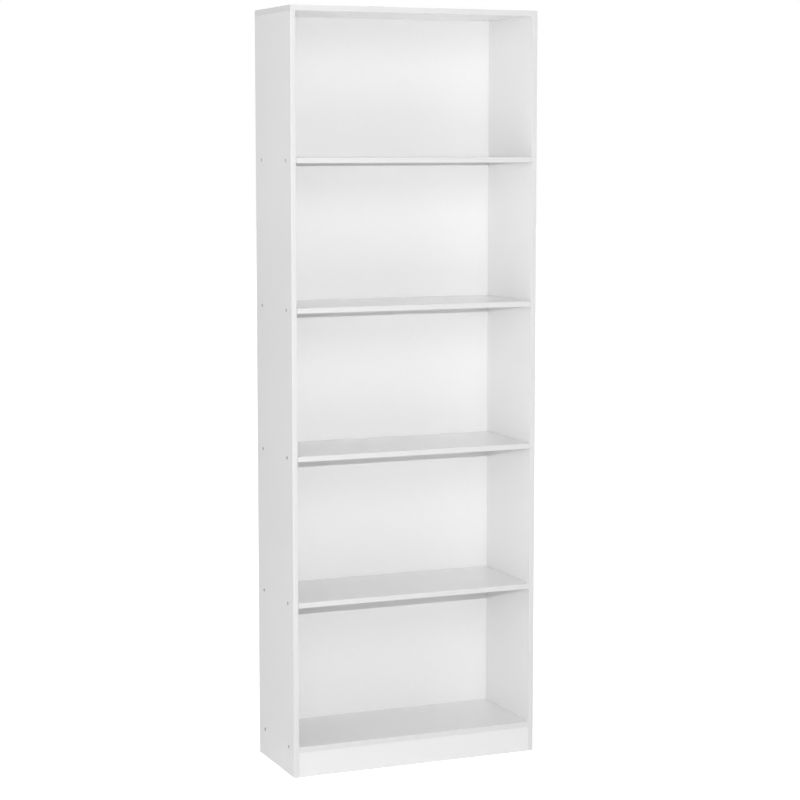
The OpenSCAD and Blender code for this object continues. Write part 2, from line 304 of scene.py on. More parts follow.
def bare_fibre_finish():
    material, tree, place = new_finish("hardboard_bare_fibre")
    combed = add(tree, "Mapping", {"Vector": place, "Scale": (1.0, 1.0, 0.35)})
    fibre = add(tree, "TexNoise", {
        "Vector": combed.outputs[0], "Scale": per_metre(FIBRE_MM), "Detail": 5.0})
    fleck = add(tree, "TexNoise", {"Vector": place, "Scale": per_metre(FLECK_MM), "Detail": 4.0})
    strong = add(tree, "MapRange", {"Value": fleck.outputs["Fac"], "From Min": 0.34, "From Max": 0.66})
    patch = add(tree, "TexNoise", {"Vector": place, "Scale": per_metre(PATCH_MM), "Detail": 3.0})
    brown = add(tree, "Mix", {
        0: fibre.outputs["Fac"], 6: paint("#86613e"), 7: paint("#b48c60")}, data_type="RGBA")
    flecked = add(tree, "Mix", {
        0: strong.outputs[0], 6: paint("#7f5a38"), 7: paint("#bb9467")}, data_type="RGBA")
    both = add(tree, "Mix", {
        0: FLECK_SHARE, 6: brown.outputs[2], 7: flecked.outputs[2]}, data_type="RGBA")
    worn = add(tree, "Mix", {
        0: patch.outputs["Fac"], 6: both.outputs[2], 7: paint("#a57d54")}, data_type="RGBA")
    across = add(tree, "TexWave", {
        "Vector": place, "Scale": per_metre(SCREEN_MM) / WAVES_PER_SCALE}, bands_direction="X")
    along = add(tree, "TexWave", {
        "Vector": place, "Scale": per_metre(SCREEN_MM) / WAVES_PER_SCALE}, bands_direction="Z")
    mesh_print = add(tree, "Math", {
        0: across.outputs["Fac"], 1: along.outputs["Fac"]}, operation="MULTIPLY")
    relief = add(tree, "Bump", {"Height": mesh_print.outputs[0], "Strength": 0.35, "Distance": 0.2 * MM})
    bare = add(tree, "BsdfPrincipled", {
        "Base Color": worn.outputs[2], "Roughness": 0.8, "IOR": 1.45, "Normal": relief.outputs[0]})
    add(tree, "OutputMaterial", {"Surface": bare.outputs[0]})
    return material


lacquer = lacquer_finish()
bare_fibre = bare_fibre_finish()
print("made", lacquer.name, "and", bare_fibre.name)

# %% [markdown]
# ### Plated and plain steel
# Screws, pins and the bracket are barrel-plated with zinc: bright, slightly blue, and mottled where
# the parts tumbled against each other. Nails are left as drawn, darker and duller.

# %% Zinc plate, drawn steel and rolled strip
MOTTLE_MM = 1.5
DRAWN_MM = 0.8
ROLLED_MM = 0.5


def steel_finish(name, dark, light, roughness, grain_mm, stretch):
    """A metal with a mottled colour and sheen. The stretch draws the mottle out along X, Y and Z."""
    material, tree, place = new_finish(name)
    drawn = add(tree, "Mapping", {"Vector": place, "Scale": stretch})
    grain = add(tree, "TexNoise", {"Vector": drawn.outputs[0], "Scale": per_metre(grain_mm), "Detail": 3.0})
    tone = add(tree, "Mix", {0: grain.outputs["Fac"], 6: paint(dark), 7: paint(light)}, data_type="RGBA")
    sheen = add(tree, "MapRange", {
        "Value": grain.outputs["Fac"], "To Min": roughness - 0.06, "To Max": roughness + 0.08})
    relief = add(tree, "Bump", {"Height": grain.outputs["Fac"], "Strength": 0.2, "Distance": 0.05 * MM})
    metal = add(tree, "BsdfPrincipled", {
        "Base Color": tone.outputs[2], "Metallic": 1.0, "Roughness": sheen.outputs[0],
        "Normal": relief.outputs[0]})
    add(tree, "OutputMaterial", {"Surface": metal.outputs[0]})
    return material


zinc = steel_finish("zinc_plate_tumbled", "#8e9092", "#bfc1c3", 0.38, MOTTLE_MM, (1.0, 1.0, 1.0))
nail_steel = steel_finish("nail_steel_drawn", "#8b8e91", "#b3b6b9", 0.36, DRAWN_MM, (1.0, 0.3, 1.0))
strip_steel = steel_finish("strip_steel_rolled", "#a2a6aa", "#ccd0d2", 0.28, ROLLED_MM, (0.08, 1.0, 1.0))
print("made", zinc.name, nail_steel.name, strip_steel.name)

# %% [markdown]
# ### Beech dowels and moulded blocks
# Dowels are turned from beech, which is pale and even with short dark flecks along the grain. The
# corner blocks are moulded in white plastic against a lightly sparked tool.

# %% Beech and moulded plastic
BEECH_MM = 0.9
SPARK_MM = 0.6


def beech_finish():
    material, tree, place = new_finish("beech_turned")
    grain = add(tree, "TexNoise", {"Vector": place, "Scale": per_metre(BEECH_MM), "Detail": 5.0})
    wood = add(tree, "Mix", {
        0: grain.outputs["Fac"], 6: paint("#b98f5f"), 7: paint("#e2c59b")}, data_type="RGBA")
    relief = add(tree, "Bump", {"Height": grain.outputs["Fac"], "Strength": 0.3, "Distance": 0.1 * MM})
    rod = add(tree, "BsdfPrincipled", {
        "Base Color": wood.outputs[2], "Roughness": 0.6, "IOR": 1.45, "Normal": relief.outputs[0]})
    add(tree, "OutputMaterial", {"Surface": rod.outputs[0]})
    return material


def moulded_finish():
    material, tree, place = new_finish("plastic_moulded_sparked")
    spark = add(tree, "TexNoise", {"Vector": place, "Scale": per_metre(SPARK_MM), "Detail": 2.0})
    white = add(tree, "Mix", {
        0: spark.outputs["Fac"], 6: paint("#e6e6e0"), 7: paint("#efefea")}, data_type="RGBA")
    relief = add(tree, "Bump", {"Height": spark.outputs["Fac"], "Strength": 0.3, "Distance": 0.05 * MM})
    plastic = add(tree, "BsdfPrincipled", {
        "Base Color": white.outputs[2], "Roughness": 0.48, "IOR": 1.5, "Normal": relief.outputs[0]})
    add(tree, "OutputMaterial", {"Surface": plastic.outputs[0]})
    return material


beech = beech_finish()
moulded = moulded_finish()
print("made", beech.name, "and", moulded.name)

# %% [markdown]
# ## From arrays to pieces
# Each shape below is worked out as arrays of points. Two helpers finish the job: one joins
# neighbouring rings of points with faces, and one makes the object, points its faces outwards and
# chooses a finish for each face.

# %% Skin a stack of rings, and make a piece
SHARP = math.radians(35)
SAME_POINT = 0.001 * MM
ROUNDING_STEPS = 2


def skin(rings, first=0):
    """Closes a stack of rings into a shell. Point j of a ring is joined to point j + 1 and to the same
    two points of the next ring, and the two end rings are capped. Faces are lists of point numbers."""
    count, size = rings.shape[:2]
    ring, point = np.meshgrid(np.arange(count - 1), np.arange(size), indexing="ij")
    after = (point + 1) % size
    sides = np.stack([ring * size + point, ring * size + after, (ring + 1) * size + after,
                      (ring + 1) * size + point], -1).reshape(-1, 4) + first
    ends = [np.arange(size) + first, np.arange(size) + first + (count - 1) * size]
    return sides.tolist() + [end.tolist() for end in ends]


def joined(shells):
    """Several (points, faces) shells as one, with the later shells' point numbers moved up."""
    starts = np.cumsum([0] + [len(points) for points, _ in shells])
    points = np.concatenate([points for points, _ in shells])
    faces = [[number + start for number in face] for (_, face_list), start in zip(shells, starts)
             for face in face_list]
    return points, faces


def make_piece(name, points, faces, finishes, choose=None, rounding=0.0):
    """Makes one object. choose(centres, normals) gives each face the number of its finish. A rounding
    above zero softens every edge that is sharper than 35 degrees by that radius."""
    mesh = bpy.data.meshes.new(name)
    mesh.from_pydata(points.reshape(-1, 3).tolist(), [], faces)
    shell = bmesh.new()
    shell.from_mesh(mesh)
    bmesh.ops.remove_doubles(shell, verts=shell.verts, dist=SAME_POINT)
    bmesh.ops.recalc_face_normals(shell, faces=shell.faces)
    shell.to_mesh(mesh)
    shell.free()
    for finish in finishes:
        mesh.materials.append(finish)
    if choose is not None:
        centres, normals = np.empty((2, len(mesh.polygons) * 3))
        mesh.polygons.foreach_get("center", centres)
        mesh.polygons.foreach_get("normal", normals)
        numbers = choose(centres.reshape(-1, 3), normals.reshape(-1, 3)).astype(np.int32)
        mesh.polygons.foreach_set("material_index", numbers)
    mesh.shade_smooth()
    mesh.set_sharp_from_angle(angle=SHARP)
    piece = bpy.data.objects.new(name, mesh)
    bpy.context.scene.collection.objects.link(piece)
    if rounding:
        soft = piece.modifiers.new("soft_edges", "BEVEL")
        soft.width = rounding
        soft.segments = ROUNDING_STEPS
        soft.limit_method = "ANGLE"
        soft.angle_limit = SHARP
        soft.harden_normals = True
        soft.material = 0
    return piece


def settle(piece, body, slot, *nodes):
    """Says which body the piece moves with and which nodes it stands for, and hides those nodes. The slot
    is not used.
    """
    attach(piece, body)
    if nodes:
        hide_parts(*nodes)
    print(piece.name, "-", len(piece.data.vertices), "points, moves with", body)


# %% [markdown]
# ## A drilled board
# A board is a flat slab with round holes. To drill it as a mesh, its face is ruled with lines past
# each hole. A plain cell becomes one face. A cell with a hole becomes four faces that run from the
# cell's sides to the hole's rim, so nothing overlaps and no gap is left. Each hole is then a stack of
# rings from one face down to the other, wider at the mouth if the fastener's head sinks in.

# %% Rule the face, cut the cells, sink the holes
HOLE_SIDES = 40
HOLE_MARGIN = 1.0 * MM
SQUARE_ON = 0.9
ARRIS = 0.2 * MM


def ruled(low, high, middles, half):
    """The two ends and a line on each side of every hole, in order and without repeats."""
    lines = np.concatenate([[low, high], np.asarray(middles) - half, np.asarray(middles) + half])
    return np.unique(np.round(lines, 7))


def drilled_board(low, high, thin, holes, extra_lines=()):
    """A slab from corner low to corner high whose thin direction is axis number thin. Each hole is
    (u, v, profile), where u and v are its place on the other two axes in order and the profile is a
    list of (radius, depth) from the high face to the low face. Point k of a ring lies at its
    middle plus the radius times the cosine and sine of an eighth of a turn plus k steps. The extra
    lines rule the second axis more finely, for a slab that is bent afterwards."""
    low, high = np.asarray(low, float), np.asarray(high, float)
    u_axis, v_axis = [axis for axis in range(3) if axis != thin]
    half = max([profile[0][0] for *_, profile in holes], default=0) + HOLE_MARGIN
    us = ruled(low[u_axis], high[u_axis], [u for u, _, _ in holes], half)
    vs = ruled(low[v_axis], high[v_axis], [v for _, v, _ in holes], half)
    vs = np.unique(np.concatenate([vs, np.asarray(extra_lines, float)]))

    corner = np.zeros((2, len(us), len(vs), 3))
    corner[..., u_axis], corner[..., v_axis] = us[None, :, None], vs[None, None, :]
    corner[0, ..., thin], corner[1, ..., thin] = high[thin], low[thin]
    number = np.arange(2 * len(us) * len(vs)).reshape(2, len(us), len(vs))
    points = [corner.reshape(-1, 3)]

    whole = np.ones((len(us) - 1, len(vs) - 1), bool)
    faces = []
    turn = math.pi / 4 + np.arange(HOLE_SIDES) * 2 * math.pi / HOLE_SIDES
    quarter = HOLE_SIDES // 4
    first = number.size
    for u, v, profile in holes:
        i, j = np.searchsorted(us, u) - 1, np.searchsorted(vs, v) - 1
        whole[i, j] = False
        radius, depth = np.asarray(profile, float).T
        rings = np.zeros((len(profile), HOLE_SIDES, 3))
        rings[..., u_axis] = u + radius[:, None] * np.cos(turn)
        rings[..., v_axis] = v + radius[:, None] * np.sin(turn)
        rings[..., thin] = high[thin] - depth[:, None]
        points.append(rings.reshape(-1, 3))
        faces += skin(rings, first)[:-2]
        for side, rim in ((0, first), (1, first + (len(profile) - 1) * HOLE_SIDES)):
            cell = [number[side, i + 1, j + 1], number[side, i, j + 1],
                    number[side, i, j], number[side, i + 1, j]]
            for k in range(4):
                arc = [rim + (k * quarter + step) % HOLE_SIDES for step in range(quarter, -1, -1)]
                faces.append([int(cell[k]), int(cell[(k + 1) % 4])] + arc)
        first += len(profile) * HOLE_SIDES

    for side in (0, 1):
        n = number[side]
        cells = np.stack([n[:-1, :-1], n[1:, :-1], n[1:, 1:], n[:-1, 1:]], -1)
        faces += cells[whole].tolist()
    rim = np.concatenate([
        number[:, :, 0], number[:, -1, 1:], number[:, -2::-1, -1], number[:, 0, -2:0:-1]], 1)
    around = np.stack([rim[0], np.roll(rim[0], -1), np.roll(rim[1], -1), rim[1]], -1)
    return np.concatenate(points), faces + around.tolist()


def faced_on(thin):
    """Finish 0 where a face looks along the thin axis, and finish 1, the sawn core, elsewhere."""
    return lambda centres, normals: np.abs(normals[:, thin]) < SQUARE_ON


def case_board(name, node, shell, thin):
    """A drilled board as a piece of the case: melamine on its two sheets and chipboard at its edges."""
    piece = make_piece(name, *shell, [melamine, chipboard], faced_on(thin), ARRIS)
    settle(piece, "case", "melamine_board", node)


# %% [markdown]
# ## Edging as a profile carried along an edge
# The strip is 0.6 mm thick, as wide as the board, and its two outer corners are rounded where the
# trimmer ran. One outline is enough: it is placed at the start and at the end of the edge, and the
# skin between the two is the strip.

# %% Edging strips
STRIP = 0.6 * MM
STRIP_ROUND = 0.5 * MM
ROUND_STEPS = 6


def strip_outline(width):
    """A flat bar seen from its end, with two outer corners as quarter circles. Coordinates are (across
    the board's thickness, out from the board's edge)."""
    angle = np.linspace(0, math.pi / 2, ROUND_STEPS)
    right = np.stack([width / 2 - STRIP_ROUND * (1 - np.cos(angle)),
                      STRIP - STRIP_ROUND * (1 - np.sin(angle))], -1)
    left = right[::-1] * (-1, 1)
    return np.concatenate([[[-width / 2, 0], [width / 2, 0]], right, left])


def edging_strip(start, end, across, out, width):
    """The outline carried from start to end: each point is the station plus the across direction and
    the out direction, weighted by the outline's two coordinates."""
    outline = strip_outline(width)
    flat = outline[:, :1] * np.asarray(across, float) + outline[:, 1:] * np.asarray(out, float)
    rings = np.stack([np.asarray(start, float) + flat, np.asarray(end, float) + flat])
    return rings.reshape(-1, 3), skin(rings)


# %% [markdown]
# ## The two sides
# Each side is one tall board, faced on both sheets and edged down its front. Steel pins and screws
# pass through it, so it has a row of holes, and the mouth of each hole is opened as a cone so that
# the fastener's flat head ends level with the face.

# %% Places shared by the boards and their fasteners
PIN_SHANK = 5.0 * MM
PIN_HEAD = 8.0 * MM
SCREW_SHANK = 4.0 * MM
SCREW_HEAD = 8.0 * MM
CONE_MOUTH = 8.3 * MM
HOLE_SLACK = 0.15 * MM
SHELF_NAMES = ["shelf_1", "shelf_2", "shelf_3", "shelf_4"]


def sides_of(node):
    """A node's lowest and highest corner as arrays."""
    low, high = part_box(node)
    return np.array(low), np.array(high)


left_low, left_high = sides_of("left_side")
right_low, right_high = sides_of("right_side")
top_low, top_high = sides_of("top_panel")
bottom_low, bottom_high = sides_of("bottom_panel")
plinth_low, plinth_high = sides_of("plinth")
back_low, back_high = sides_of("back_panel")
FRONT = left_low[1]
BOARD_BACK = left_high[1]
BOARD = top_high[2] - top_low[2]

pin_low, pin_high = sides_of("shelf_1_pins")
PIN_ROWS = (pin_low[1] + PIN_HEAD / 2, pin_high[1] - PIN_HEAD / 2)
pin_heights = [float(np.mean([edge[2] for edge in sides_of(name + "_pins")])) for name in SHELF_NAMES]
screw_height = float(np.mean([edge[2] for edge in sides_of("bottom_panel_screws")]))
print("pins across, in mm:", [round(y / MM, 1) for y in PIN_ROWS])
print("pins up, in mm:", [round(z / MM) for z in pin_heights])


def sunk_hole(shank, through):
    """The rings of a hole whose mouth is a 90 degree cone: mouth, foot of the cone, far side. Each is
    a radius and a depth."""
    bore = shank / 2 + HOLE_SLACK
    mouth = CONE_MOUTH / 2
    return [(mouth, 0.0), (bore, mouth - bore), (bore, through)]


side_holes = [(y, z, sunk_hole(PIN_SHANK, BOARD)) for z in pin_heights for y in PIN_ROWS]
side_holes += [(y, screw_height, sunk_hole(SCREW_SHANK, BOARD)) for y in PIN_ROWS]

# %% Left and right side boards
def side_board(node, low, high, outward):
    """A side board set back behind its edging. It is worked out with its inner face at zero and its
    holes open to the right, turned to face outwards (1 or -1) and moved to the case's inner width."""
    front = (0.0, FRONT + STRIP, low[2])
    points, faces = drilled_board(front, (high[0] - low[0], BOARD_BACK, high[2]), 0, side_holes)
    inner = low[0] if outward > 0 else high[0]
    points = points * (outward, 1, 1) + (inner, 0, 0)
    case_board(node + "_board", node, (points, faces), 0)


side_board("left_side", left_low, left_high, -1)
side_board("right_side", right_low, right_high, 1)

# %% Their front edging
def front_edging(name, low, high, along, body="case"):
    """A strip over the front edge of a board, all the way along the axis number along: 2 for an upright
    board and 0 for a level one."""
    across = 2 - along
    start, end = (low + high) / 2, (low + high) / 2
    start[along], end[along] = low[along], high[along]
    start[1] = end[1] = FRONT + STRIP
    points, faces = edging_strip(start, end, np.eye(3)[across], (0, -1, 0), high[across] - low[across])
    settle(make_piece(name, points, faces, [edging]), body, "melamine_board")


front_edging("left_side_edging", left_low, left_high, 2)
front_edging("right_side_edging", right_low, right_high, 2)

# %% [markdown]
# ## Top, bottom and plinth
# The top lies over both sides, so three of its edges can be seen and three are edged. The bottom
# board and the plinth stand between the sides. The bottom board's front is edged. The plinth shows
# its faced sheet to the front, with the board above resting on its sawn edge.

# %% Top board and its three strips
TOP_SCREW_X = (top_low[0] + BOARD / 2, top_high[0] - BOARD / 2)
top_holes = [(x, y, sunk_hole(SCREW_SHANK, BOARD)) for x in TOP_SCREW_X for y in PIN_ROWS]
top_front_left = (top_low[0] + STRIP, FRONT + STRIP, top_low[2])
top_back_right = (top_high[0] - STRIP, BOARD_BACK, top_high[2])
case_board("top_board", "top_panel", drilled_board(top_front_left, top_back_right, 2, top_holes), 2)

top_middle = (top_low[2] + top_high[2]) / 2
left_x = top_low[0] + STRIP
right_x = top_high[0] - STRIP
strip_paths = [((left_x, FRONT + STRIP), (right_x, FRONT + STRIP), (0, -1, 0)),
               ((left_x, FRONT), (left_x, BOARD_BACK), (-1, 0, 0)),
               ((right_x, FRONT), (right_x, BOARD_BACK), (1, 0, 0))]
top_strips = joined([edging_strip((*start, top_middle), (*end, top_middle), (0, 0, 1), out, BOARD)
                     for start, end, out in strip_paths])
settle(make_piece("top_edging", *top_strips, [edging]), "case", "melamine_board")

# %% Bottom board and plinth
bottom_front_left = (bottom_low[0], FRONT + STRIP, bottom_low[2])
bottom_back_right = (bottom_high[0], BOARD_BACK, bottom_high[2])
case_board("bottom_board", "bottom_panel", drilled_board(bottom_front_left, bottom_back_right, 2, []), 2)
front_edging("bottom_edging", bottom_low, bottom_high, 0)
case_board("plinth_board", "plinth", drilled_board(plinth_low, plinth_high, 1, []), 1)

# %% [markdown]
# ## The back and its nails
# The back sheet covers the case from behind and squares it up. It is nailed on round its edge, so it
# has twenty shallow dimples where the nail heads were driven level. Its two faces wear different
# finishes: lacquer inside, bare fibre outside.

# %% Back sheet
NAIL_SHANK = 1.6 * MM
NAIL_HEAD = 4.0 * MM
NAIL_HEAD_DEEP = 0.8 * MM
NAIL_LENGTH = 20.0 * MM
NAIL_FOOT_GAP = 39.0 * MM
NAIL_TOP_GAP = 51.0 * MM
NAIL_CORNER_GAP = 46.0 * MM
SIDE_NAILS = 7
NAIL_SLACK = 0.1 * MM

back_thick = back_high[1] - back_low[1]
nail_rows = np.linspace(back_low[2] + NAIL_FOOT_GAP, back_high[2] - NAIL_TOP_GAP, SIDE_NAILS)
_, nail_high = sides_of("back_nails")
nail_x = nail_high[0] - NAIL_HEAD / 2
cross_x = nail_x - NAIL_CORNER_GAP
bottom_row = (bottom_low[2] + bottom_high[2]) / 2
nail_places = [(side * nail_x, z) for side in (-1, 1) for z in nail_rows]
nail_places += [(x, z) for z in (bottom_row, top_middle) for x in (-cross_x, 0.0, cross_x)]
dimple = [(NAIL_HEAD / 2 + NAIL_SLACK, 0.0), (NAIL_HEAD / 2 + NAIL_SLACK, NAIL_HEAD_DEEP),
          (NAIL_SHANK / 2 + NAIL_SLACK, NAIL_HEAD_DEEP), (NAIL_SHANK / 2 + NAIL_SLACK, back_thick)]
back_points, back_faces = drilled_board(back_low, back_high, 1, [(x, z, dimple) for x, z in nail_places])


def inside_or_out(centres, normals):
    """Lacquer (0) where a face looks forward into the case, and bare fibre (1) everywhere else."""
    return normals[:, 1] > -SQUARE_ON


back_sheet = make_piece("back_sheet", back_points, back_faces, [lacquer, bare_fibre], inside_or_out)
settle(back_sheet, "case", "hardboard_back", "back_panel")

# %% Nails
NAIL_SIDES = 16


def turned(profile, sides):
    """A solid of revolution about +Z. Ring k has the profile's radius k, at the profile's height k, and
    its points stand evenly round the axis."""
    radius, height = np.asarray(profile, float).T
    turn = np.arange(sides) * 2 * math.pi / sides
    return np.stack([radius[:, None] * np.cos(turn), radius[:, None] * np.sin(turn),
                     np.repeat(height[:, None], sides, 1)], -1)


def placed(rings, place, axis):
    """Rings about +Z turned so that +Z points along the axis, and moved to the place. The two other
    directions are any pair square to the axis."""
    axis = np.asarray(axis, float)
    helper = np.array([0, 0, 1.0]) if abs(axis[2]) < 0.5 else np.array([0, 1.0, 0])
    side = np.cross(helper, axis)
    up = np.cross(axis, side)
    moved = rings @ np.stack([side, up, axis]) + np.asarray(place, float)
    return moved.reshape(-1, 3), skin(rings)


def fittings(name, node, shells, finish=zinc, slot="zinc_steel"):
    """Several equal fittings as one piece of the case."""
    settle(make_piece(name, *joined(shells), [finish]), "case", slot, node)


NAIL_PROFILE = [(0.35 * NAIL_HEAD, 0.0), (0.49 * NAIL_HEAD, 0.06 * MM), (0.5 * NAIL_HEAD, 0.2 * MM),
                (0.5 * NAIL_HEAD, 0.62 * MM), (0.47 * NAIL_HEAD, NAIL_HEAD_DEEP - 0.02 * MM),
                (0.55 * NAIL_SHANK, NAIL_HEAD_DEEP), (0.5 * NAIL_SHANK, 1.3 * MM),
                (0.5 * NAIL_SHANK, NAIL_LENGTH - 2.4 * MM), (0.02 * MM, NAIL_LENGTH)]
nail_rings = turned(NAIL_PROFILE, NAIL_SIDES)
nails = [placed(nail_rings, (x, back_high[1], z), (0, -1, 0)) for x, z in nail_places]
fittings("back_nails_driven", "back_nails", nails, nail_steel, "nail_steel")

# %% [markdown]
# ## Pins, screws and the cross in their heads
# A pin and a screw start the same: a flat countersunk head with a cross for the driver. The head's
# face is a stack of rings that follow the cross's outline near the middle and the round rim outside,
# so the cross is a real pocket. Below the head a pin is a plain bar with a softened end. A screw has
# a ridge that winds along the shank, made by letting the radius swell where the turn angle and the
# depth are in step.

# %% The outline of the cross and the head
FASTENER_SIDES = 48
CROSS_ARM = 2.3 * MM
CROSS_HALF = 0.55 * MM
CROSS_DEEP = 1.4 * MM
CROSS_WALL = [(0.35, CROSS_DEEP), (0.86, 0.5 * CROSS_DEEP), (0.96, 0.08 * MM), (1.04, 0.0)]
RIM_ROUND = 0.1 * MM
RIM_EDGE = 0.25 * MM
TINY = 1e-9
turn_angles = np.arange(FASTENER_SIDES) * 2 * math.pi / FASTENER_SIDES


def bar_radius(angle, arm, half):
    """How far a straight bar of half length arm and half width half reaches at an angle: the arm over
    the cosine or the half width over the sine, whichever is met first."""
    cosine = np.maximum(np.abs(np.cos(angle)), TINY)
    sine = np.maximum(np.abs(np.sin(angle)), TINY)
    return np.minimum(arm / cosine, half / sine)


def cross_radius(angle, size=1.0):
    """Two bars at a right angle: the longer reach of the two at each angle."""
    arm, half = CROSS_ARM * size, CROSS_HALF * size
    return np.maximum(bar_radius(angle, arm, half), bar_radius(angle + math.pi / 2, arm, half))


def pocket_rings(wall):
    """The cross's pocket: each ring of the wall is (size of the cross, depth)."""
    return [(cross_radius(turn_angles, size), depth) for size, depth in wall]


def head_rings(head, shank, cone_foot):
    """Rings from the bottom of the cross, up its walls, over the face, round the rim and down the cone.
    Each is (radius at every angle, height along the fastener)."""
    return pocket_rings(CROSS_WALL) + [
        (head / 2 - RIM_EDGE, 0.0), (head / 2, RIM_ROUND), (head / 2, RIM_EDGE), (shank / 2, cone_foot)]


def fastener_rings(stations):
    """An (S, P, 3) array from (radius at every angle, height) stations about +Z."""
    radius = np.stack([np.broadcast_to(r, FASTENER_SIDES) for r, _ in stations])
    height = np.array([h for _, h in stations])
    return np.stack([radius * np.cos(turn_angles), radius * np.sin(turn_angles),
                     np.repeat(height[:, None], FASTENER_SIDES, 1)], -1)


print("a cross has", FASTENER_SIDES, "points round it")

# %% Shelf pins
PIN_LENGTH = 21.0 * MM
PIN_END = 1.0 * MM


def pin_rings(length):
    """Head, bar and an end with a small chamfer."""
    cone_foot = (PIN_HEAD - PIN_SHANK) / 2 + RIM_EDGE
    bar = [(PIN_SHANK / 2, length - PIN_END), (PIN_SHANK / 2 - 0.35 * PIN_END, length - 0.3 * PIN_END),
           (PIN_SHANK / 2 - PIN_END, length)]
    return fastener_rings(head_rings(PIN_HEAD, PIN_SHANK, cone_foot) + bar)


one_pin = pin_rings(PIN_LENGTH)
for name, height in zip(SHELF_NAMES, pin_heights):
    pins = [placed(one_pin, (side * right_high[0], y, height), (-side, 0, 0))
            for side in (-1, 1) for y in PIN_ROWS]
    fittings(name + "_pins_plated", name + "_pins", pins)

# %% Long screws through the sides and the top
SCREW_LENGTH = 40.0 * MM
SCREW_PITCH = 2.4 * MM
SCREW_NECK = 3.0 * MM
CORE_SHARE = 0.66
NECK_SHARE = 1.08
RIDGE_POWER = 8
TAPER_SHANKS = 1.2
LEAST_TAPER = 0.03
POINT_RADIUS = 0.02 * MM
THREAD_STEPS = 10
THREAD_END_GAP = 0.05 * MM


def thread_stations(shank, begins, length, pitch, lead_in):
    """The thread's radius is the core's plus a ridge: the ridge is the eighth power of the cosine of
    half of the turn angle less the turns wound so far. The whole fades to the point over the last few
    millimetres. With a lead-in the ridge also grows from nothing over its first turn."""
    core = CORE_SHARE * shank / 2
    heights = np.arange(begins, length - THREAD_END_GAP, pitch / THREAD_STEPS)
    wound = 2 * math.pi * heights[:, None] / pitch
    ridge = np.cos((turn_angles[None] - wound) / 2) ** RIDGE_POWER
    if lead_in:
        ridge = ridge * np.clip((heights - begins) / pitch, 0.0, 1.0)[:, None]
    taper = np.clip((length - heights) / (TAPER_SHANKS * shank), LEAST_TAPER, 1.0)[:, None]
    radius = (core + (shank / 2 - core) * ridge) * taper
    return list(zip(radius, heights)) + [(POINT_RADIUS, length)]


def threaded_rings(head, shank, length, pitch, smooth):
    """Head, plain neck, thread and point."""
    cone_foot = (head - shank) / 2 + RIM_EDGE
    neck = [(NECK_SHARE * CORE_SHARE * shank / 2, cone_foot + 0.1 * MM)]
    thread = thread_stations(shank, smooth, length, pitch, True)
    return fastener_rings(head_rings(head, shank, cone_foot) + neck + thread)


one_screw = threaded_rings(SCREW_HEAD, SCREW_SHANK, SCREW_LENGTH, SCREW_PITCH, SCREW_NECK)
bottom_screws = [placed(one_screw, (side * right_high[0], y, screw_height), (-side, 0, 0))
                 for side in (-1, 1) for y in PIN_ROWS]
top_screws = [placed(one_screw, (x, y, top_high[2]), (0, 0, -1)) for x in TOP_SCREW_X for y in PIN_ROWS]
fittings("bottom_screws_threaded", "bottom_panel_screws", bottom_screws)
fittings("top_screws_threaded", "top_panel_screws", top_screws)

# %% [markdown]
# ## Dowels
# A furniture dowel is a short beech rod with shallow grooves along it, which let the glue and the air
# out. Its radius is a circle's with a small ripple round the turn, and both ends are chamfered.

# %% Fluted dowels
DOWEL = 6.0 * MM
DOWEL_LENGTH = 24.0 * MM
FLUTES = 16
FLUTE_DEEP = 0.22 * MM
DOWEL_CHAMFER = 0.8 * MM


def dowel_rings(length):
    """The radius is half the dowel less the flute depth times the square of the sine of the turn times
    half the number of flutes. It shrinks by the chamfer at each end."""
    ripple = FLUTE_DEEP * np.sin(turn_angles * FLUTES / 2) ** 2
    body = DOWEL / 2 - ripple
    return fastener_rings([(body - DOWEL_CHAMFER, 0.0), (body, DOWEL_CHAMFER),
                           (body, length - DOWEL_CHAMFER), (body - DOWEL_CHAMFER, length)])


def dowels(node, piece_name, axis):
    """Four dowels, in from the corners of the node's box by half a dowel. Upright ones start at the
    foot of the box, and level ones at its two ends."""
    low, high = sides_of(node)
    if axis == 2:
        places = [((x, y, low[2]), (0, 0, 1)) for x in (low[0] + DOWEL / 2, high[0] - DOWEL / 2)
                  for y in (low[1] + DOWEL / 2, high[1] - DOWEL / 2)]
    else:
        places = [((side * high[0], (low[1] + high[1]) / 2, z), (-side, 0, 0)) for side in (-1, 1)
                  for z in (low[2] + DOWEL / 2, high[2] - DOWEL / 2)]
    rings = dowel_rings(DOWEL_LENGTH)
    shells = [placed(rings, place, way) for place, way in places]
    fittings(piece_name, node, shells, beech, "beech")


dowels("top_panel_dowels", "top_dowels_fluted", 2)
dowels("plinth_dowels", "plinth_dowels_fluted", 0)

# %% [markdown]
# ## Corner blocks under the bottom board
# Two moulded blocks hold the plinth square to the bottom board. Each is an L with a thin web across
# its middle. Their shape in the design is already right, holes and all, so its faces are merged,
# every flat run of triangles becomes one face, and a rounding gives them a moulded edge.

# %% Blocks from the design's own shape
BLOCK_MERGE = 0.005 * MM
FLAT = math.radians(0.5)


def merged_copy(node):
    """A node's points and faces after its loose triangles are joined and its flat parts are made whole."""
    copy = bmesh.new()
    copy.from_mesh(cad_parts[node].data)
    bmesh.ops.remove_doubles(copy, verts=copy.verts, dist=BLOCK_MERGE)
    bmesh.ops.dissolve_limit(copy, angle_limit=FLAT, verts=copy.verts, edges=copy.edges)
    points = np.array([point.co for point in copy.verts])
    faces = [[point.index for point in face.verts] for face in copy.faces]
    copy.free()
    return points, faces


BLOCK_ROUND = 0.35 * MM
block_points, block_faces = merged_copy("plinth_blocks")
blocks = make_piece("plinth_blocks_moulded", block_points, block_faces, [moulded], rounding=BLOCK_ROUND)
settle(blocks, "case", "block_plastic", "plinth_blocks")

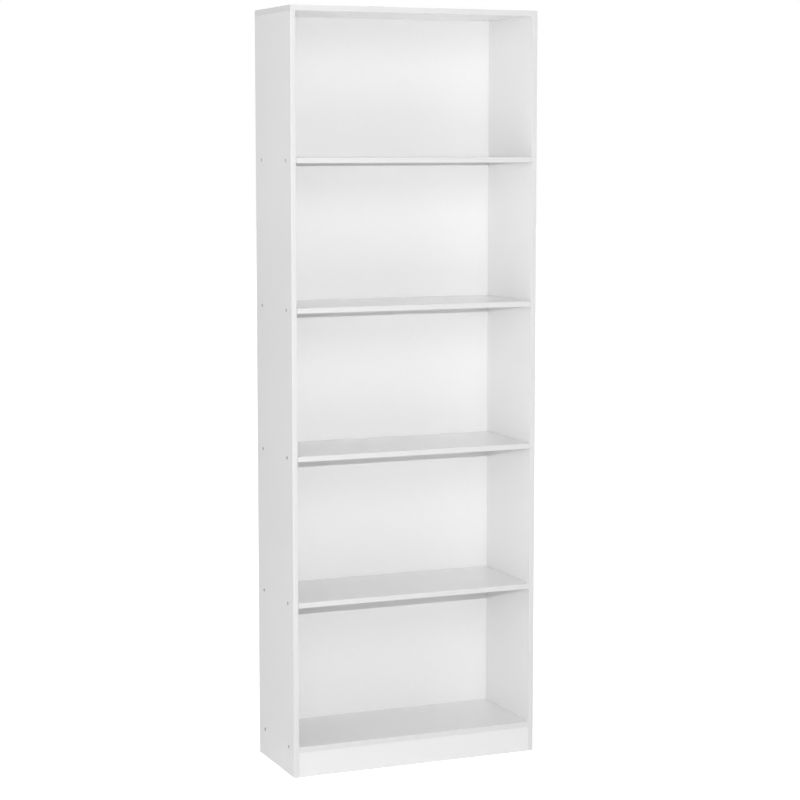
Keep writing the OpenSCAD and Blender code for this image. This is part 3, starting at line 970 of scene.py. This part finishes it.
# %% [markdown]
# ## Short screws with round heads
# The blocks and the wall bracket are held by short screws. Their heads stand on the surface, so the
# profile is a low dome with the same cross pressed into it.

# %% Round-headed screws
SHORT_SHANK = 3.5 * MM
SHORT_HEAD = 7.0 * MM
SHORT_HEAD_DEEP = 2.0 * MM
SHORT_PITCH = 1.6 * MM
DOME_STEPS = 7
DOME_SHARE = 0.9


def dome_rings(head, deep):
    """The cross's pocket, then a dome: as the angle goes from near the axis to level, the radius is the
    head's times its sine, and the height is the dome's share of the depth times one less its cosine."""
    start = math.asin(min(1.0, 1.2 * CROSS_ARM / (head / 2)))
    angle = np.linspace(start, math.pi / 2, DOME_STEPS)
    brim = deep * DOME_SHARE * (1 - math.cos(start))
    pocket = pocket_rings([(0.3, CROSS_DEEP), (0.86, 0.5 * CROSS_DEEP), (0.98, brim * 0.5)])
    dome = list(zip(head / 2 * np.sin(angle), deep * DOME_SHARE * (1 - np.cos(angle))))
    return pocket + dome + [(head / 2 * 0.97, deep)]


def short_screw_rings(bite):
    """The dome, then the same thread as a long screw's. The height is zero at the top of the dome."""
    length = SHORT_HEAD_DEEP + bite
    begins = SHORT_HEAD_DEEP + THREAD_END_GAP
    thread = thread_stations(SHORT_SHANK, begins, length, SHORT_PITCH, False)
    return fastener_rings(dome_rings(SHORT_HEAD, SHORT_HEAD_DEEP) + thread)


block_low, block_high = sides_of("plinth_blocks")
driven_low, driven_high = sides_of("plinth_block_screws")
BLOCK_WALL = 4.0 * MM
UP_SCREW_IN = 22.5 * MM
FRONT_SCREW_IN = 7.5 * MM
FRONT_SCREW_DOWN = 12.0 * MM
up_x = block_high[0] - UP_SCREW_IN
front_x = block_high[0] - FRONT_SCREW_IN
up_y = driven_high[1] - SHORT_HEAD / 2
front_z = block_high[2] - FRONT_SCREW_DOWN
bite_up = driven_high[2] - (block_high[2] - BLOCK_WALL)
bite_front = (block_low[1] + BLOCK_WALL) - driven_low[1]
up_screw = short_screw_rings(bite_up)
front_screw = short_screw_rings(bite_front)
under = block_high[2] - BLOCK_WALL - SHORT_HEAD_DEEP
behind = block_low[1] + BLOCK_WALL + SHORT_HEAD_DEEP
block_screws = [placed(up_screw, (side * up_x, up_y, under), (0, 0, 1)) for side in (-1, 1)]
block_screws += [placed(front_screw, (side * front_x, behind, front_z), (0, -1, 0)) for side in (-1, 1)]
fittings("block_screws_threaded", "plinth_block_screws", block_screws)

# %% [markdown]
# ## The wall bracket
# A tall light case is tied to the wall. The bracket is a strip of steel, drilled flat and then bent
# once. It is made here in the same order: a drilled slab first, and then one formula that carries
# each point round the bend.

# %% Drill the strip flat, then bend it
STRIP_THICK = 2.0 * MM
BEND_OUTER = 3.5 * MM
BEND_STEPS = 9
SCREW_SPREAD = 12.0 * MM
WALL_HOLE = 5.0 * MM
FOOT_HOLE = 4.0 * MM
FOOT_HOLE_IN = 12.0 * MM
WALL_HOLE_UP = 9.5 * MM
BRACKET_ARRIS = 0.25 * MM

bracket_low, bracket_high = sides_of("wall_bracket")
foot_flat = bracket_high[1] - BEND_OUTER - bracket_low[1]
bend_middle = BEND_OUTER - STRIP_THICK / 2
bend_long = math.pi / 2 * bend_middle
upright = bracket_high[2] - bracket_low[2] - BEND_OUTER
wall_hole_along = foot_flat + bend_long + WALL_HOLE_UP - BEND_OUTER
through = [(0.5 * FOOT_HOLE, 0.0), (0.5 * FOOT_HOLE, STRIP_THICK)]
wall_through = [(0.5 * WALL_HOLE, 0.0), (0.5 * WALL_HOLE, STRIP_THICK)]


def bent(points):
    """Carries a flat strip round the bend. Up to the bend a point stays. On the bend it turns about the
    bend's axis by its distance along over the middle radius, and its thickness takes it inwards. After
    the bend it runs straight up."""
    along, thick = points[:, 1], points[:, 2]
    angle = np.clip((along - foot_flat) / bend_middle, 0, math.pi / 2)
    radius = BEND_OUTER - thick
    straight = np.minimum(along, foot_flat)
    risen = np.maximum(along - foot_flat - bend_long, 0)
    y = straight + radius * np.sin(angle)
    z = BEND_OUTER - radius * np.cos(angle) + risen
    return np.stack([points[:, 0], y, z], -1) + (0, bracket_low[1], bracket_low[2])


half_strip = bracket_high[0]
flat_points, strip_faces = drilled_board(
    (-half_strip, 0, 0), (half_strip, foot_flat + bend_long + upright, STRIP_THICK), 2,
    [(-SCREW_SPREAD, FOOT_HOLE_IN, through), (SCREW_SPREAD, FOOT_HOLE_IN, through),
     (0.0, wall_hole_along, wall_through)],
    extra_lines=foot_flat + np.linspace(0, bend_long, BEND_STEPS))
bracket = make_piece("wall_bracket_bent", bent(flat_points), strip_faces, [strip_steel],
                     rounding=BRACKET_ARRIS)
settle(bracket, "case", "bracket_steel", "wall_bracket")

bracket_screw_low, bracket_screw_high = sides_of("wall_bracket_screws")
bracket_screw = short_screw_rings(bracket_screw_high[2] - SHORT_HEAD_DEEP - bracket_screw_low[2])
bracket_screw_y = (bracket_screw_low[1] + bracket_screw_high[1]) / 2
bracket_screws = [
    placed(bracket_screw, (side * SCREW_SPREAD, bracket_screw_y, bracket_screw_high[2]), (0, 0, -1))
    for side in (-1, 1)]
fittings("bracket_screws_threaded", "wall_bracket_screws", bracket_screws)

# %% [markdown]
# ## The four shelves
# A shelf drops onto four pins. Each end has two notches, open below and at the end, so that the pins
# slide in from under it and the shelf hides them. The board is lofted along its length: one outline
# with the notches and one without, both with the same number of points, so the skin between them
# closes the notch's inner end.

# %% Notched shelf boards
NOTCH_SLACK = 0.3 * MM
NOTCH_LONG = 9.5 * MM
ARCH_STEPS = 13
ON_FACE = 0.1 * MM
notch_radius = PIN_SHANK / 2 + NOTCH_SLACK


def shelf_outline(low, high, axis_height, notched):
    """A shelf seen from its end. Where it is notched, the lower line climbs straight to the pin's axis,
    goes over in a half circle of the notch's radius and comes straight down. Where it isn't, the same
    points lie on the lower line."""
    turn = np.linspace(math.pi, 0, ARCH_STEPS)
    line = [np.array([[FRONT + STRIP, low[2]]])]
    for y in PIN_ROWS:
        arch = np.stack([y + notch_radius * np.cos(turn), axis_height + notch_radius * np.sin(turn)], -1)
        legs = np.array([[y - notch_radius, low[2]], [y + notch_radius, low[2]]])
        line.append(np.concatenate([legs[:1], arch, legs[1:]]))
    line.append(np.array([[high[1], low[2]], [high[1], high[2]], [FRONT + STRIP, high[2]]]))
    outline = np.concatenate(line)
    if not notched:
        lower = np.arange(len(outline)) < len(outline) - 2
        outline[lower, 1] = low[2]
    return outline


def shelf(name):
    """One shelf: its board, notched near both ends, and the strip along its front."""
    low, high = sides_of(name)
    axis_height = low[2] + BOARD / 2
    stations = [(low[0], True), (low[0] + NOTCH_LONG, True), (low[0] + NOTCH_LONG, False),
                (high[0] - NOTCH_LONG, False), (high[0] - NOTCH_LONG, True), (high[0], True)]
    outlines = [shelf_outline(low, high, axis_height, notched) for _, notched in stations]
    rings = np.stack([np.column_stack([np.full(len(line), x), line])
                      for (x, _), line in zip(stations, outlines)])

    def sheet_core_or_end(centres, normals):
        """Facing (0) on the lower and upper sheets, edging (2) on the ends and the rear, and the sawn
        core (1) inside the notches."""
        x, y, z = centres.T
        flat = (np.abs(z - low[2]) < ON_FACE) | (np.abs(z - high[2]) < ON_FACE)
        edge = (x < low[0] + ON_FACE) | (x > high[0] - ON_FACE) | (y > high[1] - ON_FACE)
        return np.where(flat, 0, np.where(edge, 2, 1))

    board = make_piece(name + "_board", rings.reshape(-1, 3), skin(rings),
                       [melamine, chipboard, edging], sheet_core_or_end, ARRIS)
    settle(board, name, "melamine_board", name)
    front_edging(name + "_edging", low, high, 0, name)


for name in SHELF_NAMES:
    shelf(name)
print(len(SHELF_NAMES), "shelves made")

# %% [markdown]
# ## The floor
# The floor is a wide pale sheet that glows a little, so that it runs into the white room without a
# line, and it keeps only a soft shadow close to the plinth. It is part of the stage and not of the
# bookcase.

# %% Floor
FLOOR_HALF = 30.0
FLOOR_GLOW = 0.7
FLOOR_GRAIN_MM = 40.0


def floor_finish():
    material, tree, place = new_finish("studio_floor_painted")
    grain = add(tree, "TexNoise", {"Vector": place, "Scale": per_metre(FLOOR_GRAIN_MM), "Detail": 3.0})
    pale = add(tree, "Mix", {
        0: grain.outputs["Fac"], 6: paint("#f3f3f3"), 7: paint("#f6f6f6")}, data_type="RGBA")
    ray = add(tree, "LightPath")
    glow = add(tree, "Math", {0: ray.outputs["Is Camera Ray"], 1: FLOOR_GLOW}, operation="MULTIPLY")
    paint_coat = add(tree, "BsdfPrincipled", {
        "Base Color": pale.outputs[2], "Roughness": 0.7, "Emission Color": (1, 1, 1, 1),
        "Emission Strength": glow.outputs[0]})
    add(tree, "OutputMaterial", {"Surface": paint_coat.outputs[0]})
    return material


FLOOR_LINES = 3
lines = np.linspace(-FLOOR_HALF, FLOOR_HALF, FLOOR_LINES)
floor_x, floor_y = np.meshgrid(lines, lines, indexing="ij")
floor_points = np.stack([floor_x, floor_y, np.zeros_like(floor_x)], -1)
floor_mesh = bpy.data.meshes.new("studio_floor")
n = np.arange(FLOOR_LINES ** 2).reshape(FLOOR_LINES, FLOOR_LINES)
floor_faces = np.stack([n[:-1, :-1], n[1:, :-1], n[1:, 1:], n[:-1, 1:]], -1).reshape(-1, 4)
floor_mesh.from_pydata(floor_points.reshape(-1, 3).tolist(), [], floor_faces.tolist())
floor_mesh.materials.append(floor_finish())
floor = bpy.data.objects.new("studio_floor", floor_mesh)
bpy.context.scene.collection.objects.link(floor)
print("floor made")
